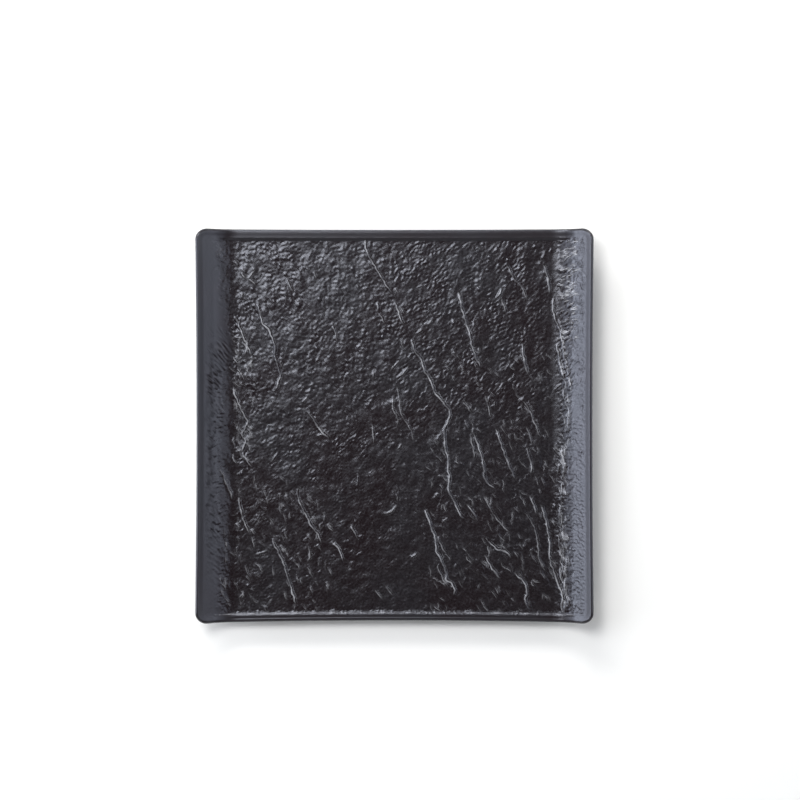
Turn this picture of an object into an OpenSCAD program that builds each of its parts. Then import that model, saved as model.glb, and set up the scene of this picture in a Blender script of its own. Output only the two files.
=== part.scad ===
/* [Plate] */
// Width across the two raised sides, outside the glaze
plate_w = 210; // [180:1:300]
// Depth from the front edge to the back edge, outside the glaze
plate_d = 209; // [180:0.5:300]
// Corner radius seen from above
corner_r = 6.3; // [6:0.1:12]
// How far the middle of each raised side is drawn in by the firing
side_bow = 0.8; // [0:0.1:1.5]
// How far the middle of the back edge is drawn in by the firing
back_bow = 0.4; // [0:0.1:2]
// How far the middle of the front edge is drawn in by the firing
front_bow = 1.4; // [0:0.1:2]
// Thickness of the base, with the glaze on both faces
base_t = 5; // [4:0.1:8]
// Thickness of the glaze
glaze_t = 0.35; // [0.2:0.05:0.6]

/* [Raised sides] */
// Run of a raised side, from where it leaves the floor to the outside of the rim
wall_run = 22; // [18:0.5:30]
// Radius of the sweep from the floor into a raised side
wall_sweep_r = 20; // [12:0.5:24]
// Slope of the straight part of a raised side, in degrees
wall_slope = 43; // [25:1:45]

/* [Rim] */
// Thickness of the rim
rim_t = 4.2; // [3.4:0.1:6]
// Radius of the rim's upper edge
rim_round = 1.4; // [0.8:0.1:1.8]
// Width of the bead that runs all round the rim, from the edge in
bead_w = 4.2; // [2.8:0.1:4.4]
// Height of the bead
bead_h = 0.4; // [0.2:0.05:0.8]
// Width of the smooth ledge along the back, bead included
back_ledge_w = 5.9; // [4.2:0.1:6]
// Width of the smooth ledge along the front, bead included
front_ledge_w = 4.8; // [4.2:0.1:6]
// Height of the ledge above the floor
ledge_h = 0.9; // [0.4:0.1:1.6]
// Width of the step from a ledge down to the floor
ledge_step_w = 1.3; // [0.8:0.1:1.4]
// How far in from the side the ledge has died out into the raised side
ledge_end = 9; // [7:0.5:12]
// Width of the rounding under the rim
under_round = 3; // [2:0.1:4]
// How far in from the edge the underside starts to rise towards the rim
under_run = 12; // [8:0.5:16]

/* [Foot] */
// Height of the foot ring
foot_h = 2.5; // [1.5:0.1:5]
// Width of the foot ring
foot_w = 4; // [2.5:0.1:7]
// Distance from the floor's edge in to the outside of the foot ring, the same all round
foot_margin = 5; // [2:0.5:20]
// Corner radius of the outside of the foot ring
foot_corner_r = 9; // [8:0.5:20]
// Height of the bare band that is wiped free of glaze above the table
bare_h = 1; // [0.5:0.1:1.2]

/* [Hidden] */
// Overrun of a cut past a face, and of a joined piece into its neighbour
overrun = 1;
// Corner radius of the inside of the foot ring
foot_inner_r = foot_corner_r - foot_w;
// Places of the lines from the bead to the corner's centre, as shares of the way between them
ledge_shares = [0.25, 0.5, 0.75, 1];
// Insets of the net's lines from the edge that follow the bead, the ledge and the corner
near_insets = concat(
    [rim_round, (rim_round + bead_w) / 2, bead_w],
    [for (s = ledge_shares) bead_w + s * (corner_r - bead_w)]
);
// Horizontal run of the sweep, before the straight part of the raised side begins
sweep_run = wall_sweep_r * sin(wall_slope);
// Places of the lines over a raised side, as shares of the way from the corner to the floor
wall_shares = [0.16, 0.32, 0.48, 0.64, 0.82, 1];
// Places of the lines over the flat floor, as shares of the way to the centre
floor_shares = [0.3, 0.65, 1];
// The net's lines, as insets from the side and from the front, up to the centre line
x_insets = concat(
    near_insets,
    [for (s = wall_shares) corner_r + s * (wall_run - corner_r)],
    [for (s = floor_shares) wall_run + s * (plate_w / 2 - wall_run)]
);
y_insets = concat(near_insets, [for (s = floor_shares) corner_r + s * (plate_d / 2 - corner_r)]);
nx = 2 * len(x_insets) - 1;
ny = 2 * len(y_insets) - 1;
// Angles of the rings that round the rim, above and below
round_angles = [22.5, 45, 67.5];

// 0 below t = 0, 1 above t = 1 and a smooth rise between
function smooth(t) = let (c = min(max(t, 0), 1)) c * c * (3 - 2 * c);

// Index of a line counted from the nearer edge, and the side that it lies on
function from_edge(i, n) = min(i, n - 1 - i);
function side_of(i, n) = 2 * i < n - 1 ? -1 : 1;

// Share of the corner radius that a line lies outside the corner's centre, 0 past the corner
function corner_share(inset) = max((corner_r - inset) / (corner_r - rim_round), 0);

// One coordinate of a point of the net whose outermost line has the inset first
function place(inset, other, half, first) =
    let (u = corner_share(inset), v = corner_share(other))
    u > 0 ? half - corner_r + (corner_r - first) * u * sqrt(1 - v * v / 2) : half - inset;

// Plan position of the net's point i, j before the sides are drawn in
function plan(i, j, first) =
    let (a = x_insets[from_edge(i, nx)], b = y_insets[from_edge(j, ny)])
    [
        side_of(i, nx) * place(a, b, plate_w / 2, first),
        side_of(j, ny) * place(b, a, plate_d / 2, first)
    ];

// Distance from a point in to the nearest edge of the plan
function edge_gap(p) =
    let (a = plate_w / 2 - abs(p.x), b = plate_d / 2 - abs(p.y))
    a < corner_r && b < corner_r ? corner_r - norm([corner_r - a, corner_r - b]) : min(a, b);

// How far a point has come along a raised side from the floor
function side_run(p) = wall_run - plate_w / 2 + abs(p.x);

// Rise of a raised side: an arc, then a straight slope
function wall_rise(run) =
    run <= 0 ? 0
    : run < sweep_run ? wall_sweep_r - sqrt(pow(wall_sweep_r, 2) - pow(run, 2))
    : wall_sweep_r * (1 - cos(wall_slope)) + (run - sweep_run) * tan(wall_slope);

// Width of the ledge along the edge that a point is nearer to
function ledge_w(p) = p.y < 0 ? front_ledge_w : back_ledge_w;

// Height of the ledge, which dies out where the raised side climbs
function ledge_rise(p) = ledge_h * (1 - smooth(side_run(p) / (wall_run - ledge_end)));

// Height of the bead, which falls off from the rim's upper edge inwards
function bead_rise(gap) =
    bead_h * (1 + cos(180 * min((gap - rim_round) / (bead_w - rim_round), 1))) / 2;

// Height of the glazed top at a point
function top_z(p) =
    let (gap = edge_gap(p))
    foot_h + base_t + wall_rise(side_run(p))
    + ledge_rise(p) * smooth((ledge_w(p) - gap) / ledge_step_w)
    + bead_rise(gap);

// Height of the glazed underside at a point
function under_z(p) =
    let (lift = base_t + ledge_rise(p) + bead_h - rim_t)
    foot_h + wall_rise(side_run(p))
    + lift * smooth((under_run - edge_gap(p)) / (under_run - under_round));

// A point of the net with its sides drawn in, at a height
function drawn_in(p, z) =
    let (a = 2 * p.x / plate_w, b = 2 * p.y / plate_d)
    [
        p.x - side_bow * a * abs(a) * (1 - b * b),
        p.y - (p.y < 0 ? front_bow : back_bow) * b * abs(b) * (1 - a * a),
        z
    ];

// The net's border points in order round the plate, as pairs of indices
border = concat(
    [for (i = [0:nx - 2]) [i, 0]], [for (j = [0:ny - 2]) [nx - 1, j]],
    [for (i = [nx - 1:-1:1]) [i, ny - 1]], [for (j = [ny - 1:-1:1]) [0, j]]
);

// One ring round the rim: above the widest line for a positive tilt, below it for a negative one
function rim_ring(tilt, skin) = [
    for (b = border)
    let (
        rounding = tilt >= 0 ? rim_round : under_round,
        top = top_z(plan(b.x, b.y, rim_round)),
        middle = top - rim_round,
        under = under_z(plan(b.x, b.y, under_round)),
        gap = rounding - (rounding - skin) * cos(tilt),
        z = tilt >= 0 ? middle + (rim_round - skin) * sin(tilt)
            : middle + (middle - under - skin) * sin(tilt)
    )
    drawn_in(plan(b.x, b.y, gap), z)
];

// The two triangles of the net's cell whose lowest corner is i, j, mirrored by quadrant
function cell(i, j, start) =
    let (
        a = start + j * nx + i, b = a + 1, c = a + nx, d = c + 1,
        same = (2 * i < nx - 1) == (2 * j < ny - 1)
    )
    same ? [[a, d, b], [a, c, d]] : [[a, c, b], [b, c, d]];

// Index of a border point in a net that starts at start
function border_index(k, start) = let (b = border[k % len(border)]) start + b.y * nx + b.x;

// The plate's outer form with all its faces moved in by skin, as a closed net
module plate_form(skin) {
    tilts = concat(
        [for (k = [len(round_angles) - 1:-1:0]) round_angles[k]], [0],
        [for (a = round_angles) -a]
    );
    count = len(border);
    top = [
        for (j = [0:ny - 1]) for (i = [0:nx - 1])
        let (p = plan(i, j, rim_round)) drawn_in(p, top_z(p) - skin)
    ];
    under = [
        for (j = [0:ny - 1]) for (i = [0:nx - 1])
        let (p = plan(i, j, under_round)) drawn_in(p, under_z(p) + skin)
    ];
    rings = [for (t = tilts) each rim_ring(t, skin)];
    rings_at = 2 * nx * ny;
    cells = [for (j = [0:ny - 2]) for (i = [0:nx - 2]) [i, j]];
    // Index of point k of ring r, where the rings end in the borders of the two nets
    function ring_index(r, k) =
        r < 0 ? border_index(k, 0)
        : r >= len(tilts) ? border_index(k, nx * ny)
        : rings_at + r * count + k % count;
    top_faces = [for (c = cells) each cell(c.x, c.y, 0)];
    under_faces = [for (c = cells) for (f = cell(c.x, c.y, nx * ny)) [f.z, f.y, f.x]];
    rim_faces = [
        for (r = [-1:len(tilts) - 1]) for (k = [0:count - 1])
        let (a = ring_index(r, k), b = ring_index(r, k + 1))
        let (c = ring_index(r + 1, k), d = ring_index(r + 1, k + 1))
        each [[a, b, d], [a, d, c]]
    ];
    polyhedron(concat(top, under, rings), concat(top_faces, under_faces, rim_faces), convexity = 4);
}

// Rounded rectangle as wide and deep as the foot ring's outside, grown by grow
module foot_outline(grow, radius) {
    half_w = plate_w / 2 - wall_run - foot_margin + grow;
    half_d = plate_d / 2 - wall_run - foot_margin + grow;
    square([2 * (half_w - radius), 2 * half_d], center = true);
    square([2 * half_w, 2 * (half_d - radius)], center = true);
    for (sx = [-1, 1]) for (sy = [-1, 1])
        translate([sx * (half_w - radius), sy * (half_d - radius)]) circle(r = radius, $fn = 64);
}

// A plate from low to high in the outline of the foot ring's outside or inside, grown by grow
module foot_block(low, high, grow = 0) {
    translate([0, 0, low]) linear_extrude(high - low)
        foot_outline(grow, foot_corner_r + grow);
}

module recess_block(low, high, grow = 0) {
    translate([0, 0, low]) linear_extrude(high - low)
        foot_outline(grow - foot_w, foot_inner_r + grow);
}

// Pressed and fired clay: base, raised sides, rim and foot ring are one piece
module clay_body() {
    color("#c9bfb0") {
        plate_form(glaze_t);
        difference() {
            foot_block(0, foot_h + glaze_t + overrun);
            recess_block(-overrun, foot_h + glaze_t + 2 * overrun);
        }
    }
}

// Glaze over the top, the rim and the outside, down the foot ring to the wiped band
module outer_glaze() {
    color("#2b2a2f") difference() {
        union() {
            plate_form(0);
            foot_block(bare_h, foot_h + glaze_t / 2, glaze_t);
        }
        plate_form(glaze_t);
        foot_block(bare_h - overrun, foot_h + glaze_t + overrun);
    }
}

// Glaze inside the foot ring, cut off from the rest by the bare foot
module recess_glaze() {
    color("#2b2a2f") difference() {
        recess_block(bare_h, foot_h + glaze_t);
        recess_block(bare_h - overrun, foot_h, -glaze_t);
    }
}

clay_body();
outer_glaze();
recess_glaze();
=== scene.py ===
import math

import bpy
import numpy as np
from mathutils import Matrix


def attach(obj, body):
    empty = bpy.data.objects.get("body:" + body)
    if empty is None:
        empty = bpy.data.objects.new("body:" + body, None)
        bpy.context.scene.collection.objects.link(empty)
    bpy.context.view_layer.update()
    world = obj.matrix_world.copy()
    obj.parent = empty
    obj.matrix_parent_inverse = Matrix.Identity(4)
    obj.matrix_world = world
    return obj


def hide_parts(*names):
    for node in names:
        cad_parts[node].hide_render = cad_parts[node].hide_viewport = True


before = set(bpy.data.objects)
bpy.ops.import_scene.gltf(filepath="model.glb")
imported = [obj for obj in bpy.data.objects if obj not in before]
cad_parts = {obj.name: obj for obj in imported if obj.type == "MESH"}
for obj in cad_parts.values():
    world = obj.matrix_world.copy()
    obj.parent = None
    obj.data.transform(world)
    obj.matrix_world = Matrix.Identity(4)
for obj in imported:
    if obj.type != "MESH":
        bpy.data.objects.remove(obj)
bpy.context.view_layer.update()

# Clay body. One pressed and fired piece of stoneware: base, two raised sides, low front and back
# ledges, bead and foot ring. Only the wiped foot ring shows bare clay; glaze covers everything else.
# Sizes are in millimetres, as in the solids, and become metres where a mesh is made.
mm = 0.001
plate_w = 210.0
plate_d = 209.0
corner_r = 6.3
side_bow = 0.8
back_bow = 0.4
front_bow = 1.4
base_t = 5.0
glaze_t = 0.35
wall_run = 22.0
wall_sweep_r = 20.0
wall_slope = math.radians(43)
rim_t = 4.2
rim_round = 1.4
bead_w = 4.2
bead_h = 0.4
back_ledge_w = 5.9
front_ledge_w = 4.8
ledge_h = 0.9
ledge_step_w = 1.3
ledge_end = 9.0
under_round = 3.0
under_run = 12.0
foot_h = 2.5
foot_w = 4.0
foot_margin = 5.0
foot_half_w = plate_w / 2 - wall_run - foot_margin
foot_half_d = plate_d / 2 - wall_run - foot_margin
foot_corner_r = 9.0
foot_fillet = 1.0
foot_edge = 0.6
bare_h = 1.0
corner_lines = 4
straight_lines = 54
under_steps = 16
floor_margin = 1.5


def ease(t):
    """Rises smoothly from 0 to 1 while t goes from 0 to 1."""
    c = np.clip(t, 0, 1)
    return c * c * (3 - 2 * c)


def edge_gap(x, y):
    """How far in from the rounded square outline a point lies."""
    a = plate_w / 2 - np.abs(x)
    b = plate_d / 2 - np.abs(y)
    corner = corner_r - np.hypot(corner_r - a, corner_r - b)
    return np.where((a < corner_r) & (b < corner_r), corner, np.minimum(a, b))


def wall_rise(run):
    """How far a raised side has risen, run in from where it starts: a sweep, then a straight slope."""
    sweep_run = wall_sweep_r * math.sin(wall_slope)
    arc = wall_sweep_r - np.sqrt(wall_sweep_r**2 - np.clip(run, 0, sweep_run) ** 2)
    return arc + np.clip(run - sweep_run, 0, None) * math.tan(wall_slope)


def side_run(x):
    """How far out a point lies from where the raised side starts."""
    return wall_run - plate_w / 2 + np.abs(x)


def ledge_rise(x):
    """The height of the front and back ledges, which run out into the raised sides."""
    return ledge_h * (1 - ease(side_run(x) / (wall_run - ledge_end)))


def bead_rise(gap, width):
    """The height of the bead at a gap from the outline."""
    t = np.clip((gap - rim_round) / (width - rim_round), 0, 1)
    return bead_h * (1 + np.cos(math.pi * t)) / 2


def top_height(x, y):
    """The smooth top of the glaze, without the slate relief."""
    gap = edge_gap(x, y)
    ledge_w = np.where(y < 0, front_ledge_w, back_ledge_w)
    ledge = ledge_rise(x) * ease((ledge_w - gap) / ledge_step_w)
    return foot_h + base_t + wall_rise(side_run(x)) + ledge + bead_rise(gap, bead_w)


def under_height(x, y):
    """The glazed underside outside the foot ring."""
    lift = base_t + ledge_rise(x) + bead_h - rim_t
    flare = lift * ease((under_run - edge_gap(x, y)) / (under_run - under_round))
    return foot_h + wall_rise(side_run(x)) + flare


def drawn_in(x, y):
    """Moves a point of the rounded square to where the drawn-in edges put it."""
    a = 2 * x / plate_w
    b = 2 * y / plate_d
    bow = np.where(y < 0, front_bow, back_bow)
    return (
        x - side_bow * a * np.abs(a) * (1 - b * b),
        y - bow * b * np.abs(b) * (1 - a * a),
    )


class Net:
    """Lines over a rounded square: each line keeps its share of the straight side and of the corner."""

    def __init__(self, near, inner):
        share = np.concatenate([np.linspace(1, 0, near + 1), np.zeros(inner)])
        straight = np.concatenate([np.ones(near + 1), 1 - np.linspace(0, 1, inner + 1)[1:]])
        self.corner = np.concatenate([share, share[-2::-1]])
        self.straight = np.concatenate([-straight, straight[-2::-1]])
        self.side = np.sign(self.straight + (self.straight == 0))
        self.count = len(self.corner)
        n = self.count
        k = np.arange(n - 1)
        self.border_i = np.concatenate([k, np.full(n - 1, n - 1), n - 1 - k, np.zeros(n - 1, int)])
        self.border_j = np.concatenate([np.zeros(n - 1, int), k, np.full(n - 1, n - 1), n - 1 - k])

    def place(self, i, j, half_w, half_d, radius):
        """Where lines i and j cross on a rounded square of the given size."""
        u = self.corner[i]
        v = self.corner[j]
        x = self.straight[i] * (half_w - radius) + self.side[i] * radius * u * np.sqrt(1 - v * v / 2)
        y = self.straight[j] * (half_d - radius) + self.side[j] * radius * v * np.sqrt(1 - u * u / 2)
        return x, y

    def grid(self, half_w, half_d, radius):
        """All crossings of the lines."""
        j, i = np.meshgrid(np.arange(self.count), np.arange(self.count), indexing="ij")
        return self.place(i.ravel(), j.ravel(), half_w, half_d, radius)

    def loop(self, half_w, half_d, radius):
        """The crossings round the outline, in order."""
        return self.place(self.border_i, self.border_j, half_w, half_d, radius)


class Shell:
    """Collects loops and nets of points, and the faces between them, into one closed mesh."""

    def __init__(self):
        self.points = []
        self.faces = []
        self.total = 0

    def add(self, x, y, z, bowed=True):
        """Adds points, moved to the drawn-in edges where bowed, and returns their numbers."""
        if bowed:
            x, y = drawn_in(x, y)
        self.points.append(np.stack([x, y, np.broadcast_to(z, x.shape)], axis=1))
        start = self.total
        self.total += len(x)
        return np.arange(start, self.total)

    def fill(self, net, ids, flip):
        """Faces over a whole net, with their diagonals turned alike in all four quarters."""
        n = net.count
        grid = ids.reshape(n, n)
        a, b = grid[:-1, :-1].ravel(), grid[:-1, 1:].ravel()
        c, d = grid[1:, :-1].ravel(), grid[1:, 1:].ravel()
        k = np.arange(n - 1)
        same = ((2 * k < n - 1)[:, None] == (2 * k < n - 1)[None, :]).ravel()
        first = np.where(same[:, None], np.stack([a, b, d], 1), np.stack([a, b, c], 1))
        second = np.where(same[:, None], np.stack([a, d, c], 1), np.stack([b, d, c], 1))
        faces = np.concatenate([first, second])
        self.faces.append(faces[:, ::-1] if flip else faces)

    def border(self, net, ids):
        """The points of a net that lie on its outline."""
        return ids[net.border_j * net.count + net.border_i]

    def band(self, upper, lower, flip=False):
        """Faces between two loops; the lower one may have fewer points by a whole factor."""
        ratio = len(upper) // len(lower)
        after = np.roll(upper, -1)
        if ratio == 1:
            below = np.roll(lower, -1)
            faces = [np.stack([upper, lower, after], 1), np.stack([after, lower, below], 1)]
        else:
            owner = np.repeat(np.arange(len(lower)), ratio)
            late = np.tile(np.arange(ratio) >= ratio // 2, len(lower))
            corner = lower[(owner + late) % len(lower)]
            middle = upper.reshape(-1, ratio)[:, ratio // 2]
            faces = [np.stack([upper, corner, after], 1)]
            faces.append(np.stack([middle, lower, np.roll(lower, -1)], 1))
        faces = np.concatenate(faces)
        self.faces.append(faces[:, ::-1] if flip else faces)

    def make(self, name, shades=()):
        """The finished object, in metres; shades are values kept at its first points."""
        points = np.concatenate(self.points) * mm
        faces = np.concatenate(self.faces).astype(np.int32)
        mesh = bpy.data.meshes.new(name)
        mesh.vertices.add(len(points))
        mesh.vertices.foreach_set("co", points.astype(np.float32).ravel())
        mesh.loops.add(faces.size)
        mesh.loops.foreach_set("vertex_index", faces.ravel())
        mesh.polygons.add(len(faces))
        mesh.polygons.foreach_set("loop_start", np.arange(0, faces.size, 3, dtype=np.int32))
        for shade, values in shades:
            layer = mesh.attributes.new(shade, "FLOAT", "POINT")
            every = np.zeros(len(points), np.float32)
            every[: len(values)] = values
            layer.data.foreach_set("value", every)
        mesh.update(calc_edges=True)
        mesh.shade_smooth()
        piece = bpy.data.objects.new(name, mesh)
        bpy.context.collection.objects.link(piece)
        return piece


def rim_loop(net, tilt, skin):
    """One loop round the rim: above its widest line for a positive tilt, below it for a negative one."""
    lip_x, lip_y = net.loop(plate_w / 2 - rim_round, plate_d / 2 - rim_round, corner_r - rim_round)
    low_x, low_y = net.loop(plate_w / 2 - under_round, plate_d / 2 - under_round, corner_r - under_round)
    middle = top_height(lip_x, lip_y) - rim_round
    under = under_height(low_x, low_y)
    rounding = rim_round if tilt >= 0 else under_round
    gap = rounding - (rounding - skin) * math.cos(tilt)
    drop = rim_round if tilt >= 0 else middle - under
    x, y = net.loop(plate_w / 2 - gap, plate_d / 2 - gap, corner_r - gap)
    return x, y, middle + (drop - skin) * math.sin(tilt)


def underside_loops(shell, net, skin, last):
    """Loops from under the rim in to the foot ring and round its fillet, joined on from the loop last."""
    start = (plate_w / 2 - under_round, plate_d / 2 - under_round, corner_r - under_round)
    root = foot_fillet + glaze_t
    end = (foot_half_w + root, foot_half_d + root, foot_corner_r + root)
    for t in np.linspace(0, 1, under_steps + 1):
        half_w, half_d, radius = (a + (b - a) * t for a, b in zip(start, end))
        x, y = net.loop(half_w, half_d, radius)
        ids = shell.add(x, y, under_height(x, y) + skin)
        shell.band(last, ids)
        last = ids
    bend = foot_fillet + skin
    for turn in np.radians([15, 30, 45, 60, 75, 90]):
        grow = root - bend * math.sin(turn)
        x, y = net.loop(foot_half_w + grow, foot_half_d + grow, foot_corner_r + grow)
        ids = shell.add(x, y, foot_h - foot_fillet + bend * math.cos(turn))
        shell.band(last, ids)
        last = ids
    return last


def foot_loop(shell, net, grow, z, last):
    """A loop beside the foot ring, grow outside the ring's own outline, joined on from the loop last."""
    x, y = net.loop(foot_half_w + grow, foot_half_d + grow, foot_corner_r + grow)
    ids = shell.add(x, y, z)
    if last is not None:
        shell.band(last, ids)
    return ids


def cast_skin(shell, net, skin):
    """The plate's form with all faces moved in by skin, down to the end of the foot ring's fillet."""
    lip = (plate_w / 2 - rim_round, plate_d / 2 - rim_round, corner_r - rim_round)
    x, y = net.grid(*lip)
    top = shell.add(x, y, top_height(x, y) - skin)
    shell.fill(net, top, False)
    last = shell.border(net, top)
    for tilt in np.radians([60, 30, 0, -22.5, -45, -67.5]):
        x, y, z = rim_loop(net, tilt, skin)
        ids = shell.add(x, y, z)
        shell.band(last, ids)
        last = ids
    return underside_loops(shell, net, skin, last)


def recess_floor(shell, net, skin, last, flip=False):
    """Fillet and base inside the foot ring, its faces skin deeper than the glazed ones."""
    for turn in np.radians([75, 60, 45, 30, 15, 0]):
        grow = -foot_w - glaze_t - foot_fillet + (foot_fillet + skin) * math.sin(turn)
        x, y = net.loop(foot_half_w + grow, foot_half_d + grow, foot_corner_r + grow)
        ids = shell.add(x, y, foot_h - foot_fillet + (foot_fillet + skin) * math.cos(turn))
        shell.band(last, ids, flip)
        last = ids
    inner = foot_w + glaze_t + foot_fillet + floor_margin
    x, y = net.grid(foot_half_w - inner, foot_half_d - inner, foot_corner_r - inner)
    base = shell.add(x, y, foot_h + skin)
    shell.band(last, shell.border(net, base), flip)
    shell.fill(net, base, not flip)


coarse_net = Net(corner_lines, straight_lines)
clay_shell = Shell()
ring = cast_skin(clay_shell, coarse_net, glaze_t)
for turn in np.radians([0, 30, 60, 90]):
    grow = -foot_edge * (1 - math.cos(turn))
    ring = foot_loop(clay_shell, coarse_net, grow, foot_edge * (1 - math.sin(turn)), ring)
for turn in np.radians([90, 60, 30, 0]):
    grow = -foot_w + foot_edge * (1 - math.cos(turn))
    ring = foot_loop(clay_shell, coarse_net, grow, foot_edge * (1 - math.sin(turn)), ring)
ring = foot_loop(clay_shell, coarse_net, -foot_w, foot_h - foot_fillet, ring)
recess_floor(clay_shell, coarse_net, glaze_t, ring)
clay_body = clay_shell.make("fired_clay_body")


class Shade:
    """A socket of a material's node, with sums written as Python expressions."""

    def __init__(self, tree, socket):
        self.tree = tree
        self.socket = socket

    def node(self, kind, settings=None, inputs=None, output=0):
        """Adds a node; inputs are plain values or other sockets."""
        made = self.tree.nodes.new(kind)
        for key, value in (settings or {}).items():
            setattr(made, key, value)
        for key, value in (inputs or {}).items():
            socket = made.inputs[key]
            if isinstance(value, Shade):
                self.tree.links.new(value.socket, socket)
            else:
                socket.default_value = value
        return Shade(self.tree, made.outputs[output])

    def math(self, operation, *values):
        """Adds one Math node."""
        return self.node("ShaderNodeMath", {"operation": operation}, dict(enumerate(values)))

    def __add__(self, other):
        return self.math("ADD", self, other)

    def __radd__(self, other):
        return self.math("ADD", other, self)

    def __rsub__(self, other):
        return self.math("SUBTRACT", other, self)

    def __mul__(self, other):
        return self.math("MULTIPLY", self, other)

    def __rmul__(self, other):
        return self.math("MULTIPLY", other, self)

    def __abs__(self):
        return self.math("ABSOLUTE", self)

    def held(self, low, high):
        """Rises smoothly from 0 to 1 between low and high, and is held at them outside."""
        settings = {"clamp": True, "interpolation_type": "SMOOTHSTEP"}
        return self.node("ShaderNodeMapRange", settings, {0: self, 1: low, 2: high, 3: 0.0, 4: 1.0})

    def noise(self, scale, detail):
        """Cloudy noise with about scale lumps in a metre."""
        return self.node("ShaderNodeTexNoise", None, {"Vector": self, "Scale": scale, "Detail": detail})

    def attribute(self, name):
        """A value kept at the mesh's points."""
        return self.node("ShaderNodeAttribute", {"attribute_name": name}, None, "Fac")

    def mix(self, low, high):
        """The colour low where this is 0, and high where it is 1."""
        settings = {"data_type": "RGBA", "blend_type": "MIX"}
        return self.node("ShaderNodeMix", settings, {0: self, 6: low, 7: high}, 2)

    def bump(self, depth):
        """A normal for relief of the given depth in metres."""
        return self.node("ShaderNodeBump", None, {"Distance": depth, "Height": self})


def finish_for(piece, name, **sockets):
    """Gives a piece a new material and returns its coordinates in metres and its main shader."""
    material = bpy.data.materials.new(name)
    material.use_nodes = True
    tree = material.node_tree
    shader = tree.nodes["Principled BSDF"]
    for key, value in sockets.items():
        shader.inputs[key.replace("_", " ")].default_value = value
    coordinates = tree.nodes.new("ShaderNodeTexCoord")
    piece.data.materials.append(material)
    return Shade(tree, coordinates.outputs["Object"]), shader


def feed(shader, **sockets):
    """Links varying values to the main shader's sockets."""
    for key, shade in sockets.items():
        shade.tree.links.new(shade.socket, shader.inputs[key.replace("_", " ")])


clay_dark = (0.56, 0.50, 0.42, 1)
clay_light = (0.66, 0.60, 0.52, 1)
iron_speck = (0.33, 0.27, 0.21, 1)
sand_depth = 0.00012

place, shader = finish_for(clay_body, "bare_clay", Roughness=0.78, Specular_IOR_Level=0.35)
body_tone = place.noise(60.0, 3.0).held(0.35, 0.7)
speck = place.noise(1500.0, 1.0).held(0.64, 0.72)
colour = body_tone.mix(clay_dark, clay_light)
colour = speck.mix(colour, iron_speck)
sand = place.noise(2600.0, 3.0) * 0.7 + place.noise(420.0, 2.0) * 0.5
feed(shader, Base_Color=colour, Roughness=0.70 + 0.2 * body_tone, Normal=sand.bump(sand_depth))
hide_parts("clay_body")
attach(clay_body, "root")

# Outer glaze. Black satin glaze fused over the top, rim, outside and foot ring down to the wiped
# band. On top it follows the pressed slate relief: pebbled grain, cleavage steps and thin veins.
# The raised sides' upper bands have only faint hatching and waves, and the ledges are smooth.
relief_left = [
    (-96.5, 101.1), (-95.2, 93.7), (-94.0, 84.3), (-93, 73.2), (-91.6, 64.2), (-90.2, 59.4), (-88.1, 50.4),
    (-86.2, 41.4), (-88.5, 34.6), (-91.2, 31.4), (-95.4, 15.5), (-95.6, -20.5), (-94.6, -33.7),
    (-93.6, -52), (-92.2, -70), (-93.6, -91.9),
]
relief_right = [
    (99.0, 101), (98.0, 90), (97.4, 82.6), (97.6, 68), (96.6, 50.9), (94.8, 40.3), (95.3, 16.5), (94.4, -2),
    (92.8, -17.8), (92.0, -32.7), (90.8, -40.1), (91.0, -48.6), (91.4, -55.4), (92.8, -60.2),
    (93.8, -69.1), (93.8, -82.9), (95.6, -89.6), (96.0, -96),
]
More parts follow.
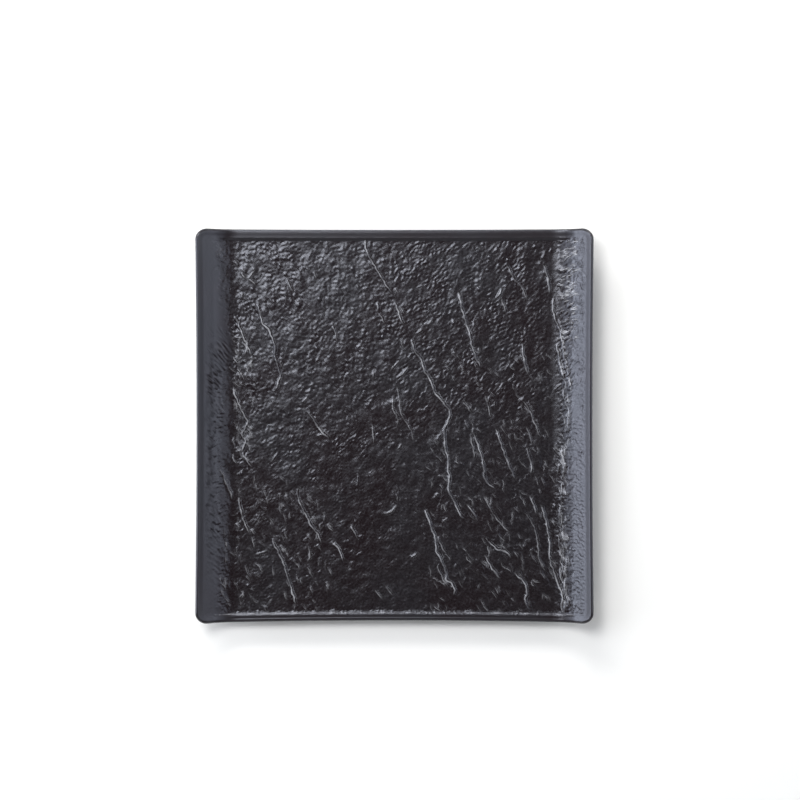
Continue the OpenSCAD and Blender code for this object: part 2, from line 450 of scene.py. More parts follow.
bold_veins = [
    [(-15.6, 100), (-15.2, 94.1), (-12.7, 88.1), (-9.4, 82.7), (-6.5, 77.6), (-5.4, 76.3), (-3.1, 72.7),
     (-1.2, 69.9)],
    [(-0.3, 65.8), (1, 63.2), (2.8, 58), (4.9, 53.1)],
    [(-9.2, 65.8), (-8.8, 60.8)],
    [(9, 46.2), (10.8, 39.3), (13.8, 35.7), (14.7, 33), (16.1, 28.4), (18.4, 25.2), (20.2, 20.6),
     (21.1, 17.9), (24.3, 14.3), (27, 11), (28.9, 8.3), (28.9, 4.2), (26.8, -0.4), (26.3, -4.9),
     (26.6, -10.8), (28.4, -18.2), (28.2, -23.1), (28.9, -26.8), (28.4, -31.3), (28.9, -35.4),
     (30.7, -38.2), (34.3, -46.4), (37.5, -49.1)],
    [(33.6, 71.3), (34.8, 66.2), (36.8, 58), (39.8, 48), (41.2, 41.6), (43.2, 36.2), (45.7, 31.1)],
    [(78.8, 85.9), (79.7, 82.7), (81.3, 78.6), (81.7, 75.4), (82.2, 69.9)],
    [(84.3, 68.5), (84, 61.7), (85.2, 56.7), (87.4, 51.7), (88.1, 47.5), (89.5, 40.2), (90.8, 33.5),
     (91.2, 30.7), (93, 22.9), (93.4, 17.9)],
    [(85.9, 43.9), (87, 36.1), (88.3, 30.2), (89.9, 24.8)],
    [(67.9, 43.5), (68.1, 38.9), (69.4, 31.1), (71.2, 26.6)],
    [(37.1, 3.3), (38.9, -1.3)],
    [(41.8, -3.5), (44.1, -10.4), (46.2, -16.8), (47.1, -21.8), (48, -28.6), (53, -33.2)],
    [(53.5, -1.3), (57.6, -13.1), (60.3, -20), (64, -28.2)],
    [(69.9, -11.3), (71.2, -15.4), (72.6, -20.9), (72.4, -25.4)],
    [(38, -41.4), (42.1, -46.4), (43.9, -49.6)],
    [(49.8, -61), (52.1, -63.3), (54.8, -65.6), (58.5, -66.5), (62.1, -70.1)],
    [(48, -68.8), (50.7, -73.8), (54.4, -79.2), (56.2, -81.1)],
    [(63.5, -77.9), (66.7, -81.1), (69.4, -84.3), (70.1, -89.3), (69.2, -92), (70.8, -97.5)],
    [(71.7, -36.8), (73.5, -41.4), (75.4, -46.9)],
    [(77.7, -41.8), (79.5, -48.2), (81.3, -55.5), (82.2, -63.7), (82.2, -70.1), (84.5, -77.4),
     (86.8, -84.3), (89, -90.1), (88.6, -96.1)],
    [(89.5, -87), (91.7, -91.9), (93, -98.2)],
    [(-57.1, 77.6), (-54.2, 71.3)],
    [(-81.1, 81.7), (-79.5, 78.5)],
    [(-84.9, 58.9), (-83.4, 55.3), (-80.9, 48.9), (-79.3, 44.8), (-78.1, 43.5), (-79.7, 36.6)],
    [(-78.3, 43.5), (-75.6, 36.6)],
    [(-72.9, 64.9), (-71.8, 61.2), (-70.6, 55.8), (-69.5, 53.5), (-66.9, 51.2), (-64.7, 46.2),
     (-63.5, 42.1), (-63.3, 36.6), (-61.9, 31.6), (-60.6, 27), (-61.9, 22.9), (-63.5, 18.4)],
    [(-85.6, 21.1), (-85.2, 17.9), (-82.9, 12), (-79.7, 5.6), (-78.1, 2.4), (-78.8, 0.5), (-80.9, -5.3),
     (-79.3, -8.1), (-81.6, -14.5)],
    [(-46.4, 7.9), (-43.2, 3.3), (-40.5, -0.8), (-38.2, -3.5), (-35.5, -5.8), (-35, -7.2)],
    [(-92.8, -21.7), (-90.6, -26.7), (-87.5, -34.6), (-86.1, -38.6)],
    [(-82.9, -37.8), (-81.6, -45), (-79.7, -51), (-77, -56.9)],
    [(-64.7, -59.2), (-64.4, -61.9), (-61, -68.3), (-59.2, -72.4), (-56.9, -79.2), (-55.1, -85.2),
     (-53.3, -91.6), (-52.6, -94.8)],
    [(-51.7, -32.7), (-51.4, -37.3), (-48.7, -44.1), (-46.4, -48.7), (-44.1, -53.2), (-40.9, -57.4),
     (-38.6, -61.9)],
    [(16.1, -44.1), (16.8, -47.3), (18.4, -50.5), (19.7, -55.1), (21.3, -58.3), (22, -64.7), (22.5, -67.4),
     (24.3, -70.6), (27, -77.4), (27.5, -82), (30.2, -83.4), (31.8, -87), (31.1, -89.7)],
    [(-23.2, -52.8), (-19.7, -59.6)],
    [(-33.7, -61.4), (-30, -64.7), (-28.6, -68.3), (-27, -71.9)],
    [(56.9, 73.1), (55.5, 69.9), (53.7, 67.6)],
]
fine_veins = [
    [(-0.3, 73.6), (2.4, 69)],
    [(2.8, 63.5), (5.1, 59.9)],
    [(-8.8, 60.8), (-7.2, 58), (-4.9, 54)],
    [(25.6, -2.6), (21.5, -8.6)],
    [(3.3, 45.7), (4.4, 41.6)],
    [(-33, 55.8), (-32.5, 52.1), (-31.4, 48.9), (-30.7, 44.8)],
    [(1.3, 21.1), (2.4, 14.3), (2.6, 11), (3.3, 7), (7, 0.5), (9.3, -4), (9.7, -8.1)],
    [(-0.8, 16.1), (-0.8, 8.8), (1.5, 4.2), (1, 0.1)],
    [(-11.1, 29.3), (-11.5, 25.2)],
    [(-12, 1.9), (-11.1, -9.5)],
    [(-19.5, -25), (-19.9, -32.2)],
    [(59.4, 85.9), (63, 78.6), (67.6, 73.1), (70.3, 66.7)],
    [(56.7, 68.1), (59, 59.4)],
    [(35.7, 12.4), (37.5, 11.5), (41.2, 6.5)],
    [(40, -4.4), (41.2, -9.9), (42.3, -14.9), (42.1, -17.2)],
    [(48, 16.5), (51.2, 4.2)],
    [(67.6, 13.4), (70.3, 10.6), (74, 2.4), (77.2, -6.3)],
    [(69.9, 0.1), (73.1, -10.4)],
    [(74.9, -26.8), (76.3, -31.3)],
    [(87.4, -19.5), (86.3, -25.9)],
    [(88.1, -14.5), (89.9, -20.8), (90.8, -24.5)],
    [(47.1, -36.8), (52.1, -46), (56.2, -51.9), (61.2, -56.5)],
    [(63.5, -67), (65.8, -70.1)],
    [(68.5, -46), (71.2, -48.7), (74.5, -54.6), (75.9, -61.9), (76.3, -69.2), (78.6, -75.6)],
    [(81.3, -75.1), (84.5, -81.1)],
    [(87.2, -62.8), (89.5, -71.9)],
    [(-84.3, 87.2), (-82.9, 84.5)],
    [(-73.8, 83.1), (-78.3, 77.6)],
    [(-77.4, 78.1), (-73.6, 74.9)],
    [(-80.6, 69.9), (-81.8, 67.6)],
    [(-82.5, 46.6), (-82.9, 36.6)],
    [(-61, 34.8), (-59.6, 31.1)],
    [(-41.9, 82.2), (-42.8, 81.3), (-41.4, 77.6)],
    [(-80.2, -14.9), (-78.3, -18.6), (-75.4, -21.8)],
    [(-38.2, -4), (-40.9, -5.3)],
    [(-75.6, -59.2), (-74.2, -64.7)],
    [(-83.8, -63.3), (-83.4, -65.6), (-84, -67.4)],
    [(-82.5, -68.3), (-81.1, -72.9)],
    [(-79.5, -73.8), (-78.3, -77.4), (-75.6, -81.1)],
    [(-79.7, -88.4), (-82.9, -91.1)],
    [(-46.2, -61.9), (-45, -68.8), (-46.9, -72.9)],
    [(-45.9, -75.6), (-43.2, -80.6)],
    [(-69.2, -95.7), (-67.8, -98.4)],
    [(22.9, -73.8), (24.3, -78.3), (27, -83.4), (28.9, -85.7)],
    [(22.9, -58.3), (24.7, -63.7), (27.5, -67.9)],
    [(1, -35.5), (1.7, -39.6)],
    [(1.5, -41.4), (-2.2, -45.5), (-6.7, -46.4)],
    [(-5.4, -84.3), (-1.2, -89.7)],
    [(-10.4, -87), (-6.3, -92)],
    [(17, 53.1), (20.2, 56.7)],
    [(12, 49.4), (14.7, 51.2)],
    [(-2.6, 28.8), (2.8, 35.3)],
    [(7.9, 32.5), (5.6, 29.3), (1, 24.8)],
    [(1.5, -12.2), (3.7, -9.5)],
    [(-49.1, 12.9), (-45.9, 15.6)],
    [(-66, -19.1), (-61.5, -14)],
    [(-78.3, 31.6), (-74.7, 35.3)],
    [(53.9, 17.9), (57.6, 22.5)],
    [(60.3, 23.4), (62.1, 25.7)],
    [(84.5, 18.8), (87.2, 22)],
    [(8.8, -69.7), (11.5, -67.9)],
    [(21.5, -37.3), (23.8, -35.5)],
    [(24.7, -51.4), (28.4, -48.2)],
    [(-73.8, -68.3), (-67.4, -66.1)],
]
knobs = [
    (-71.1, 96.6), (-60.1, 92.8), (-62.8, 89.1), (-60.8, 85.4), (-57.8, 80.4), (-40, 67.1), (-44.6, 44.8),
    (-40.9, 41.2), (-22.2, 83.6), (-5.8, 87.7), (4.4, 89.5), (16.5, 87.2), (29.6, 59.9), (31.1, 54.9),
    (50.3, 89.5), (54.6, 93.2), (60.3, 88.1), (55.1, 85.2), (49.8, 82.7), (74.1, 95.5), (44, 76.9),
    (44.8, 72.7), (57.6, 40.2), (63.7, 11.5), (66.3, 9.4), (69.2, -4.9), (-60.6, -1.7), (-53, -21.8),
    (-80.9, -25), (-81.1, 34), (-87.9, 32.4), (86.3, -58.7), (85, -42.7), (3.7, -5.3), (36.1, -20.4),
    (-75.6, 72.7), (-77.4, -84.7),
]
facets = [
    (-51.1, 64.8), (65.2, 34.6), (67.6, 13.4), (-80.3, 82.2), (-74.5, 82.8), (81.3, 76.9), (-0.8, 12.3),
]
pits = [
    (-32.3, -67.9), (-40, -69.3),
]
# Glints on the front ledge's crest, raised in the relief and painted light grey as highlights: place along
# it, half width and strength.
ledge_glints = [
    (-86, 5.0, 0.75), (-75.5, 2.0, 1.0), (-68.1, 2.0, 0.95), (-60, 4.0, 0.7), (-52.2, 2.0, 1.0),
    (-42.6, 1.6, 0.9), (-32.6, 1.6, 0.9), (-5.6, 1.6, 0.9), (8.2, 1.6, 0.85), (41.6, 1.6, 0.75),
    (54.8, 2.4, 0.9), (71.2, 2.2, 0.9), (92.4, 2.6, 1.0),
]
# Scratch strokes, raised in the relief and painted light grey as highlights: two corners of an area, how
# many, their lean and its spread, lengths and strengths.
stroke_areas = [
    ((18, -98), (87, -5), 170, -60, 18, (1.6, 6.5), (0.18, 0.70)),
    ((25, -5), (84, 42), 60, -60, 20, (1.6, 6.0), (0.15, 0.50)),
    ((-92, -98), (-34, -28), 110, -62, 18, (1.6, 6.0), (0.20, 0.70)),
    ((-86, 10), (-74, 48), 34, -70, 35, (1.5, 6.0), (0.35, 0.90)),
    ((-85, -18), (-76, 12), 26, -62, 14, (2.5, 8.0), (0.35, 0.90)),
    ((88, 42), (97, 103), 110, 20, 14, (1.6, 4.5), (0.60, 1.60)),
    ((87.5, -98), (92, -14), 60, -82, 6, (4.0, 12.0), (0.45, 1.20)),
    ((89.5, -14), (92.5, 42), 22, -82, 6, (3.0, 9.0), (0.40, 1.00)),
]
# The relief's own sizes: leans of its patterns, heights over the smooth form, widths and radii.
cleavage_lean = math.radians(-68)
strand_lean = math.radians(-82)
grain_h = 0.031
grain_fine_h = 0.009
front_grain_h = 0.024
crease_h = 0.016
strand_h = 0.050
swell_h = 0.060
lobe_h = 0.030
floor_drop = 0.08
cleavage_w = 8.5
cleavage_h = 0.13
knob_h = 0.24
knob_r = 0.75
facet_h = 0.26
facet_r = 1.6
pit_h = 0.3
pit_r = 0.6
vein_h = 0.30
vein_face_w = 0.50
fine_vein_h = 0.18
fine_vein_face_w = 0.45
stroke_face_w = 0.36
vein_back_w = 0.9
vein_clear = 1.2
drape_h = 0.018
hatch_h = 0.120
crest_in = 0.55
crest_h = 0.22
crest_r = 0.8
relief_top = 0.42
relief_bottom = -0.30
relief_bottom_up_sides = 0.14

field_cell = 0.25
field_count = 900


def uneven(seed, pitch, spread, stretch=1.0, lean=0.0):
    """Even seeded noise with waves about pitch long, drawn out along the lean; unit spread."""
    rng = np.random.default_rng(seed)
    waves = np.fft.rfft2(rng.standard_normal((field_count, field_count)))
    fy = np.fft.fftfreq(field_count, field_cell)[:, None]
    fx = np.fft.rfftfreq(field_count, field_cell)[None, :]
    c, s = math.cos(lean), math.sin(lean)
    f = np.hypot((fx * c + fy * s) * stretch, fy * c - fx * s)
    waves *= np.exp(-(((f * pitch - 1) / spread) ** 2))
    field = np.fft.irfft2(waves, s=(field_count, field_count))
    field /= field.std()
    return field


def read(field, x, y):
    """The field's value at each point, blended between its four nearest cells."""
    i = np.clip(x / field_cell + field_count / 2, 0, field_count - 2)
    j = np.clip(y / field_cell + field_count / 2, 0, field_count - 2)
    i0, j0 = i.astype(int), j.astype(int)
    a, b = i - i0, j - j0
    low = field[j0, i0] * (1 - a) + field[j0, i0 + 1] * a
    high = field[j0 + 1, i0] * (1 - a) + field[j0 + 1, i0 + 1] * a
    return low * (1 - b) + high * b


def rounded_path(points, step=0.35):
    """A smooth curve through given points, as close-set points."""
    p = np.array(points, float)
    p = np.concatenate([[2 * p[0] - p[1]], p, [2 * p[-1] - p[-2]]])
    out = []
    for a, b, c, d in zip(p[:-3], p[1:-2], p[2:-1], p[3:]):
        count = max(2, int(np.hypot(*(c - b)) / step))
        t = np.arange(count)[:, None] / count
        square = 2 * a - 5 * b + 4 * c - d
        cube = 3 * b - a - 3 * c + d
        out.append(0.5 * (2 * b + (c - a) * t + square * t**2 + cube * t**3))
    out.append(p[-2][None])
    return np.concatenate(out)


def mound(x, y, middle, radius):
    """A round mound of height 1."""
    return np.exp(-(((x - middle[0]) ** 2 + (y - middle[1]) ** 2) / radius**2))


def vein_height(x, y, path, height, lit, shaded):
    """Height of one vein: a steep face towards the west and a long back slope."""
    line = rounded_path(path)
    low, high = line.min(0) - 4, line.max(0) + 4
    near = np.nonzero((x > low[0]) & (x < high[0]) & (y > low[1]) & (y < high[1]))[0]
    px, py = x[near], y[near]
    best = np.full(len(near), 1e9)
    signed = np.zeros(len(near))
    along = np.zeros(len(near))
    steps = np.hypot(*np.diff(line, axis=0).T)
    length = np.concatenate([[0], np.cumsum(steps)])
    for k, step in enumerate(steps):
        ax, ay = line[k]
        dx, dy = line[k + 1] - line[k]
        t = np.clip(((px - ax) * dx + (py - ay) * dy) / (dx * dx + dy * dy), 0, 1)
        ex, ey = px - ax - t * dx, py - ay - t * dy
        d = ex * ex + ey * ey
        side = (ex * dy - ey * dx) * (1 if dy < 0 else -1)
        closer = d < best
        best = np.where(closer, d, best)
        signed = np.where(closer, side, signed)
        along = np.where(closer, length[k] + t * step, along)
    far = np.sqrt(best)
    reach = np.where(signed > 0, lit, shaded)
    fade = min(4.0, 0.45 * length[-1])
    taper = ease((along + 0.4) / fade) * ease((length[-1] - along + 0.4) / fade)
    return near, height * taper * np.exp(-((far / reach) ** 2)), far * np.sign(signed + 1e-9), taper


def glinting_scratches():
    """Short faint scratches, scattered where the relief shows most of them, as paths with a strength that
    also sets their painted highlight.
    """
    rng = np.random.default_rng(31)
    strokes = []
    for low, high, count, lean, spread, size, clear in stroke_areas:
        for _ in range(count):
            middle = rng.uniform(low, high)
            turn = math.radians(rng.normal(lean, spread))
            half = rng.uniform(*size) / 2
            along = np.array([math.cos(turn), math.sin(turn)]) * half
            bend = np.array([-along[1], along[0]]) * rng.normal(0, 0.16)
            strokes.append(([middle - along, middle + bend, middle + along], rng.uniform(*clear)))
    return strokes


def relief_edge(points, y):
    """How far right an edge of the relief lies at each y."""
    return np.interp(-y, [-p[1] for p in points], [p[0] for p in points])


def grain_relief(x, y, left, right, back, grain_fine):
    """Grain and swells: pebbled at the back, scratched at the front, stronger beside the raised sides."""
    patch = 0.88 + 0.14 * read(uneven(15, 22.0, 0.6), x, y)
    grain = read(uneven(16, 2.4, 0.7, 1.35, math.radians(40)), x, y)
    crease = read(uneven(19, 1.7, 0.45, 3.2, cleavage_lean), x, y)
    swell = read(uneven(20, 11.0, 0.6, 1.8, cleavage_lean), x, y)
    lobe = read(uneven(18, 6.0, 0.5), x, y)
    strand = read(uneven(29, 1.6, 0.5, 6.0, strand_lean), x, y)
    beside = 1 + (0.5 + 1.1 * back) * ease((x - right + 9) / 4) + 0.9 * ease((left + 10 - x) / 6)
    # A quieter strip along the foot of the right side, in the back half.
    eased = 1 - 0.65 * ease((x - 79) / 3) * ease((88 - x) / 2.5) * ease((y + 30) / 30)
    scratched = crease_h + crease_h * ease((x - 5) / 60)
    pebbled = grain_h * grain + grain_fine_h * grain_fine
    calm = front_grain_h * grain_fine + scratched * crease
    height = patch * beside * (back * pebbled + (1 - back) * calm)
    # Long strands up the foot of the right side, mostly in the front half.
    height += (1 - 0.8 * back) * ease((x - 87) / 2) * strand_h * strand
    return eased * (height + swell_h * swell + lobe_h * lobe) - floor_drop


def cleavage_relief(x, y, rag):
    """Steps where one layer of the slate ends and the next one starts, shown here and there."""
    ramp = x / cleavage_w + 0.9 * read(uneven(21, 26.0, 0.6, 2.5, cleavage_lean), x, y) + 0.12 * rag
    part = ramp - np.floor(ramp)
    saw = ease((part - 0.46) / 0.08) - part
    shown = ease((read(uneven(22, 13.0, 0.6, 2.0, cleavage_lean), x, y) - 0.1) / 0.8)
    return cleavage_h * saw * shown


def vein_relief(x, y):
    """Height of all veins and knobs, and each point's gap to its clearest vein and that one's strength,
    which sets its painted highlight.
    """
    rise_here = np.zeros_like(x)
    gap_here = np.full_like(x, vein_clear)
    highlight_here = np.zeros_like(x)
    # Path, height, width of the steep face, strength of the painted highlight, and how much thinner the
    # painted highlight line is.
    veins = [(path, vein_h, vein_face_w, 1.0, 1.0) for path in bold_veins]
    veins += [(path, fine_vein_h, fine_vein_face_w, 0.6, 1.1) for path in fine_veins]
    veins += [(path, 0.04 + 0.10 * clear, stroke_face_w, clear, 1.6) for path, clear in glinting_scratches()]
    for path, tall, lit, clear, thin in veins:
        near, rise, gap, taper = vein_height(x, y, path, tall, lit, vein_back_w)
        gap = gap * thin
        rise_here[near] = np.maximum(rise_here[near], rise)
        strength = clear * taper
        old = (vein_clear - np.abs(gap_here[near])) * highlight_here[near]
        stands_out = (vein_clear - np.abs(gap)) * strength > old
        chosen = near[stands_out]
        gap_here[chosen] = gap[stands_out]
        highlight_here[chosen] = strength[stands_out]
    for knob in knobs:
        rise_here = np.maximum(rise_here, knob_h * mound(x, y, knob, knob_r))
    for facet in facets:
        rise_here = np.maximum(rise_here, facet_h * mound(x, y, facet, facet_r))
    return rise_here, gap_here, highlight_here


def smooth_relief(x, y, grain_fine):
    """What is left on the smooth bands: soft folds, hatching on the left side and waves on the right."""
    hatch_zone = ease((x + 101) / 5) * ease((-85 - x) / 5) * ease((60 - y) / 34) * ease((y + 100) / 80)
    hatch = read(uneven(23, 1.7, 0.4, 3.5, math.radians(-50)), x, y)
    drape = read(uneven(24, 7.0, 0.5, 3.0, math.radians(90)), x, y)
    ripple = read(uneven(25, 2.4, 0.6, 0.8, math.radians(90)), x, y)
    wavy = ease((x - 85) / 5) * (0.052 + 0.045 * ease((y - 15) / 55))
    return drape_h * drape + grain_fine_h * grain_fine + hatch_zone * hatch_h * hatch + wavy * ripple


def crest_glint(x, y):
    """How far the front ledge's crest stands up, from 1 at a glint to -1 at a nick; 0 at the back. Its
    positive part also sets the crest's painted highlight.
    """
    glint = 0.60 * read(uneven(26, 2.2, 0.6), x, y) - 0.22
    for place_x, wide, clear in ledge_glints:
        glint = np.maximum(glint, clear * np.exp(-(((x - place_x) / wide) ** 2)))
    return np.clip(glint, -1, 1) * ease(-y / 10) * ease((97 - np.abs(x)) / 3)


def slate_relief(x, y):
    """Height of the relief over the smooth form, and each point's vein gap, painted vein highlight and
    texture.
    """
    rag = read(uneven(11, 5.0, 0.6), x, y)
    rag_fine = read(uneven(12, 2.0, 0.5), x, y)
    grain_fine = read(uneven(17, 1.8, 0.5), x, y)
    left = relief_edge(relief_left, y)
    right = relief_edge(relief_right, y)
    bow_here = np.where(y < 0, front_bow, back_bow) * (1 - (2 * x / plate_w) ** 2)
    reach = plate_d / 2 - np.abs(y) - bow_here - np.where(y < 0, front_ledge_w, back_ledge_w)
    # 1 on the slate relief and 0 on the smooth bands, with a ragged edge between them.
    inside = ease((x - left + 0.8 * rag + 0.5 * rag_fine) / 1.2)
    inside = inside * ease((right - x + 1.6 * rag + 0.8 * rag_fine) / 1.2)
    inside = inside * ease((reach + 0.3 * rag_fine) / 0.8)
    # 1 where the relief is pebbled, at the back and on the left, and 0 where it is calm.
    back = ease((y + 65 + 28 * ease((-x - 25) / 35)) / 110)
    height = grain_relief(x, y, left, right, back, grain_fine)
    height += cleavage_relief(x, y, rag)
    # The veins waver a little, so they are worked out at points moved by the same noise as the edges.
    moved_x = x + 0.14 * rag + 0.05 * rag_fine
    moved_y = y + 0.14 * read(uneven(13, 5.0, 0.6), x, y) + 0.05 * read(uneven(14, 2.0, 0.5), x, y)
    vein, vein_gap, vein_highlight = vein_relief(moved_x, moved_y)
    height = height + vein
    for pit in pits:
        height = height - pit_h * mound(x, y, pit, pit_r)
    off_bead = ease((edge_gap(x, y) - bead_w) / 1.5)
    height = inside * height + (1 - inside) * off_bead * smooth_relief(x, y, grain_fine)
    crest_gap = reach + crest_in
    glint = crest_glint(x, y)
    height = height + crest_h * glint * np.exp(-((crest_gap / crest_r) ** 2))
    on_crest = (np.abs(crest_gap) < np.abs(vein_gap)) & (y < 0)
    vein_highlight = np.where(on_crest, np.maximum(0.8 * glint, 0), vein_highlight * inside)
    vein_gap = np.where(on_crest, 1.25 * crest_gap, vein_gap)
    deepest = relief_bottom_up_sides * ease(side_run(x) / 12) + relief_bottom
    return np.clip(height, deepest, relief_top), vein_gap, vein_highlight, inside


fine_factor = 4
fine_net = Net(corner_lines * fine_factor, straight_lines * fine_factor)
glaze_shell = Shell()
lip = (plate_w / 2 - rim_round, plate_d / 2 - rim_round, corner_r - rim_round)
gx, gy = fine_net.grid(*lip)
bx, by = drawn_in(gx, gy)
relief, vein_gap, vein_highlight, texture_share = slate_relief(bx, by)
# Along the ledges the bead is lower than on the raised sides, and along the front it is narrower.
ledge_bead_share = 0.3
front_bead_w = 2.0
edge = edge_gap(gx, gy)
bead_here_w = np.where(gy < 0, front_bead_w, bead_w)
ledge_bead = ledge_bead_share * bead_rise(edge, bead_here_w)
relief = relief + ledge_rise(gx) / ledge_h * (ledge_bead - bead_rise(edge, bead_w))
lip_relief = glaze_shell.border(fine_net, relief)
form = np.stack([bx, by, top_height(gx, gy)], axis=1).reshape(fine_net.count, fine_net.count, 3)
across = np.gradient(form, axis=1)
onward = np.gradient(form, axis=0)
facing = np.cross(across, onward)
facing /= np.linalg.norm(facing, axis=2)[..., None]
form = form + facing * relief.reshape(fine_net.count, fine_net.count)[..., None]
form = form.reshape(-1, 3)
top_ids = glaze_shell.add(form[:, 0], form[:, 1], form[:, 2], bowed=False)
glaze_shell.fill(fine_net, top_ids, False)
ring = glaze_shell.border(fine_net, top_ids)
for tilt in np.radians([75, 60, 45, 30, 15, 0]):
    x, y, z = rim_loop(fine_net, tilt, 0)
    ids = glaze_shell.add(x, y, z + lip_relief * math.sin(tilt) ** 2)
    glaze_shell.band(ring, ids)
    ring = ids
for tilt in np.radians([-15, -30, -45, -60, -75]):
    x, y, z = rim_loop(coarse_net, tilt, 0)
    ids = glaze_shell.add(x, y, z)
    glaze_shell.band(ring, ids)
    ring = ids
ring = underside_loops(glaze_shell, coarse_net, 0, ring)
hem_h = 0.2
for turn in np.radians([0, 30, 60]):
    grow = glaze_t * math.cos(turn)
    ring = foot_loop(glaze_shell, coarse_net, grow, bare_h + hem_h * (1 - math.sin(turn)), ring)
hem = foot_loop(glaze_shell, coarse_net, 0, bare_h, ring)
inner_shell_start = len(glaze_shell.faces)
inner_ring = cast_skin(glaze_shell, coarse_net, glaze_t)
for k in range(inner_shell_start, len(glaze_shell.faces)):
    glaze_shell.faces[k] = glaze_shell.faces[k][:, ::-1]
glaze_shell.band(hem, inner_ring)
shades = [("vein_gap", vein_gap), ("vein_highlight", vein_highlight), ("texture", texture_share)]
outer_glaze = glaze_shell.make("outer_black_glaze", shades)

glaze_tint = (0.84, 0.88, 1.0, 1)
glaze_ior = 1.62
glaze_black = (0.0078, 0.0034, 0.0040, 1)
glaze_black_light = (0.0084, 0.0062, 0.0072, 1)
grain_black = (0.0135, 0.0104, 0.0112, 1)
highlight_grey = (0.420, 0.425, 0.450, 1)
peel_depth = 0.000012
tooth_depth = 0.000030
vein_depth = 0.00006

place, shader = finish_for(outer_glaze, "black_glaze", Specular_Tint=glaze_tint, IOR=glaze_ior)
vein_gap = abs(place.attribute("vein_gap"))
texture = place.attribute("texture")
cloud = place.noise(38.0, 3.0).held(0.3, 0.7)
mottle = place.noise(900.0, 2.0).held(0.35, 0.65)
broken = place.noise(150.0, 2.0).held(0.36, 0.62)
vein = (1.0 - vein_gap.held(0.08, 0.50)) * place.attribute("vein_highlight")
colour = cloud.mix(glaze_black, glaze_black_light)
colour = (texture * mottle * 0.5).mix(colour, grain_black)
# Painted highlights: the veins, the scratch strokes and the front crest's glints are mixed towards light
# grey, standing in for light that catches their ridges.
colour = (vein * (0.17 + 0.50 * broken)).mix(colour, highlight_grey)
rough = 0.30 - 0.06 * texture + 0.04 * mottle + 0.03 * cloud
peel = place.noise(520.0, 1.0)
tooth = place.noise(820.0, 2.0)
# Heights in metres, so the bump's own depth is 1.
height = peel * peel_depth + tooth * texture * tooth_depth + vein * vein_depth
feed(shader, Base_Color=colour, Roughness=rough, Normal=height.bump(1.0))
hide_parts("outer_glaze")
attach(outer_glaze, "root")

# Recess glaze. The same black glaze poured over the base inside the foot ring and the ring's inner
# wall; the wiped foot cuts it off from the outer glaze.
recess_shell = Shell()
ring = foot_loop(recess_shell, coarse_net, -foot_w, bare_h, None)
first_ring = ring
for turn in np.radians([60, 30, 0]):
    grow = -foot_w - glaze_t * math.cos(turn)
    ring = foot_loop(recess_shell, coarse_net, grow, bare_h + hem_h * (1 - math.sin(turn)), ring)
ring = foot_loop(recess_shell, coarse_net, -foot_w - glaze_t, foot_h - foot_fillet, ring)
recess_floor(recess_shell, coarse_net, 0, ring)
ids = foot_loop(recess_shell, coarse_net, -foot_w, foot_h - foot_fillet, None)
recess_shell.band(first_ring, ids, True)
recess_floor(recess_shell, coarse_net, glaze_t, ids, True)
recess_glaze = recess_shell.make("recess_black_glaze")

recess_black = (0.0074, 0.0058, 0.0064, 1)
recess_black_light = (0.0120, 0.0094, 0.0100, 1)
recess_peel_depth = 0.00005

place, shader = finish_for(recess_glaze, "recess_black_glaze", Specular_Tint=glaze_tint, IOR=glaze_ior)
cloud = place.noise(30.0, 3.0).held(0.3, 0.7)
mottle = place.noise(700.0, 2.0).held(0.35, 0.65)
colour = cloud.mix(recess_black, recess_black_light)
rough = 0.33 + 0.06 * mottle + 0.05 * cloud
height = place.noise(320.0, 2.0) * recess_peel_depth
feed(shader, Base_Color=colour, Roughness=rough, Normal=height.bump(1.0))
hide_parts("recess_glaze")
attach(recess_glaze, "root")

# Studio. A plain white sweep under the plate and soft panels 1.3 m away all round it: the key box
# behind, an overhead box and two cards on the left, and weaker cards at the right, back and front.
# The camera looks straight down, and the sweep fades to plain white beyond the light.
sweep_half = 4
sweep_white = (0.935, 0.93, 0.91, 1)
fade_start = 0.6
fade_end = 1.3
floor_mesh = bpy.data.meshes.new("sweep")
corners = [(sx * sweep_half, sy * sweep_half, 0) for sx, sy in ((-1, -1), (1, -1), (1, 1), (-1, 1))]
floor_mesh.from_pydata(corners, [], [(0, 1, 2, 3)])
floor = bpy.data.objects.new("sweep", floor_mesh)
bpy.context.collection.objects.link(floor)
floor_glow = 0.02
matt = {"Roughness": 0.9, "Specular_IOR_Level": 0.0}
place, shader = finish_for(floor, "white_sweep", Base_Color=sweep_white, **matt)
seen = place.node("ShaderNodeLightPath", None, None, "Is Camera Ray")
shine = place.node("ShaderNodeLightPath", None, None, "Is Glossy Ray")
clear = place.node("ShaderNodeLightPath", None, None, "Is Transmission Ray")
from_plate = place.node("ShaderNodeVectorMath", {"operation": "LENGTH"}, {0: place}, "Value")
near_glow = (floor_glow, floor_glow, floor_glow, 1)
glow_colour = from_plate.held(fade_start, fade_end).mix(near_glow, (1, 1, 1, 1))
glow = place.node("ShaderNodeEmission", None, {"Color": glow_colour, "Strength": seen + shine + clear})
lit = place.node("ShaderNodeAddShader", None, {0: Shade(place.tree, shader.outputs[0]), 1: glow})
place.tree.links.new(lit.socket, place.tree.nodes["Material Output"].inputs["Surface"])

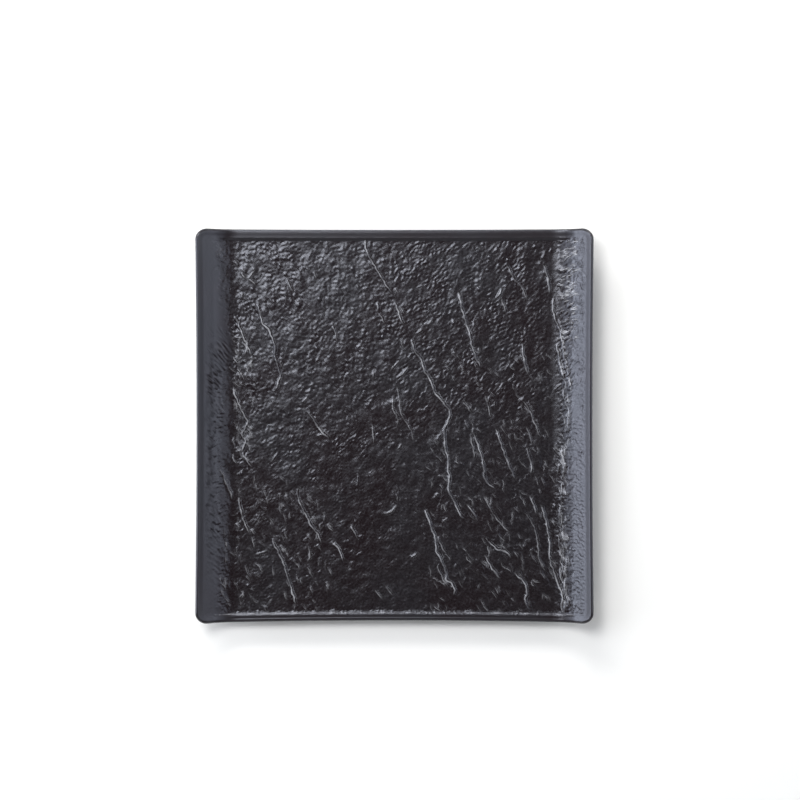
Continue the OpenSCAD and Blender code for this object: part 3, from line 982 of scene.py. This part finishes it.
world = bpy.data.worlds.new("studio")
world.use_nodes = True
bpy.context.scene.world = world
tree = world.node_tree
sky = tree.nodes["Background"]
fill = 0.03
seen = Shade(tree, tree.nodes.new("ShaderNodeLightPath").outputs["Is Camera Ray"])
sky.inputs["Color"].default_value = (1, 1, 1, 1)
strength = fill + seen * (1.0 - fill)
tree.links.new(strength.socket, sky.inputs["Strength"])


panel_distance = 1.3


def polar(round_from_right, from_overhead):
    """A place on the dome of panels, from its angle round the plate and its angle from overhead."""
    turn, lean = math.radians(round_from_right), math.radians(from_overhead)
    side = panel_distance * math.sin(lean)
    return side * math.cos(turn), side * math.sin(turn), panel_distance * math.cos(lean)


def softbox(name, centre, width, height, radiance, colour=(1, 1, 1)):
    """A soft panel that faces the plate, as bright as radiance whatever its size."""
    lamp = bpy.data.lights.new(name, "AREA")
    lamp.shape = "RECTANGLE"
    lamp.size = width
    lamp.size_y = height
    lamp.energy = radiance * math.pi * width * height
    lamp.color = colour
    holder = bpy.data.objects.new(name, lamp)
    holder.location = centre
    flat = math.hypot(centre[0], centre[1])
    holder.rotation_euler = (math.atan2(flat, centre[2]), 0, math.atan2(centre[0], -centre[1]))
    holder.visible_camera = False
    bpy.context.collection.objects.link(holder)


cool = (0.88, 0.92, 1.0)
softbox("overhead_box", polar(127, 25), 0.46, 0.50, 11.5)
softbox("key_box", polar(107, 62), 0.86, 0.36, 13.4)
softbox("low_card", polar(174, 78), 1.00, 0.48, 7.2, cool)
softbox("left_card", polar(168, 52), 0.80, 0.74, 2.2, cool)
softbox("right_card", polar(6, 42), 0.70, 0.80, 1.15, cool)
softbox("low_right_card", polar(7, 74), 0.90, 0.72, 1.85, cool)
softbox("back_card", polar(52, 60), 1.30, 0.45, 1.6)
softbox("front_card", polar(270, 56), 1.40, 1.10, 0.70)

camera_data = bpy.data.cameras.new("camera")
camera_data.lens = 122.38
camera_data.sensor_width = 36.0
camera_data.clip_start = 0.05
camera = bpy.data.objects.new("camera", camera_data)
camera.location = (0.0029, 0.0138, 1.45)
bpy.context.collection.objects.link(camera)
bpy.context.scene.camera = camera
bpy.context.scene.view_settings.view_transform = "Standard"
